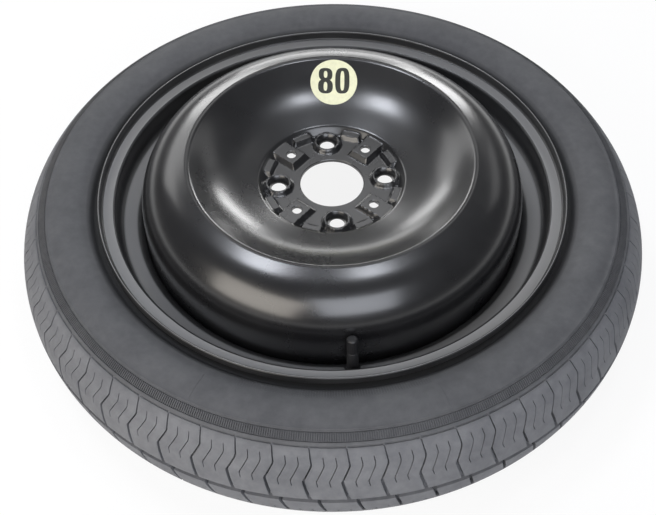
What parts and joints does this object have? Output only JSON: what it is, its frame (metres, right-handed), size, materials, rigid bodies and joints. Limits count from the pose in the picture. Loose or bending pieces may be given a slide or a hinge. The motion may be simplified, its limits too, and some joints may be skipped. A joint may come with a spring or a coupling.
{
  "type": "spare wheel",
  "caption": "Narrow temporary spare wheel: a small tyre on a domed black steel wheel with a dished hub, bolt seats, a snap-in valve and a round label.",
  "frame": {"origin": "centre of the hub bore in the plane of the hub's mounting face", "axes": "+Z along the axle line towards the outer side, away from the car; -Y through the valve"},
  "size_m": [0.582, 0.5818, 0.1619],
  "materials": {
    "tyre_rubber": "matte",
    "black_steel": "semi-gloss black dip coat",
    "valve_rubber": "matte",
    "brass": "plain",
    "seal": "matte",
    "spring_steel": "plain",
    "cap_plastic": "satin",
    "label": "coated label"
  },
  "bodies": {
    "wheel": {"tyre": "tyre_rubber", "rim": "black_steel", "wheel_disc": "black_steel", "weld_beads": "black_steel", "valve_body": "valve_rubber", "valve_stem": "brass", "core_plug": "brass", "core_barrel": "brass", "core_gasket": "seal", "core_spring": "spring_steel", "speed_label": "label"},
    "pin": {"core_pin": "brass", "core_washer": "seal"},
    "cap": {"valve_cap": "cap_plastic"}
  },
  "joints": [
    {"name": "cap_lift", "type": "slide", "parent": "wheel", "child": "cap", "axis": [0, 0.1908, 0.9816], "range_m": [0, 0.03]},
    {"name": "pin_press", "type": "slide", "parent": "wheel", "child": "pin", "axis": [0, -0.1908, -0.9816], "range_m": [0, 0.0012], "stiffness_N_per_m": 200, "springref_m": -0.004, "deforming": ["core_spring"]}
  ]
}
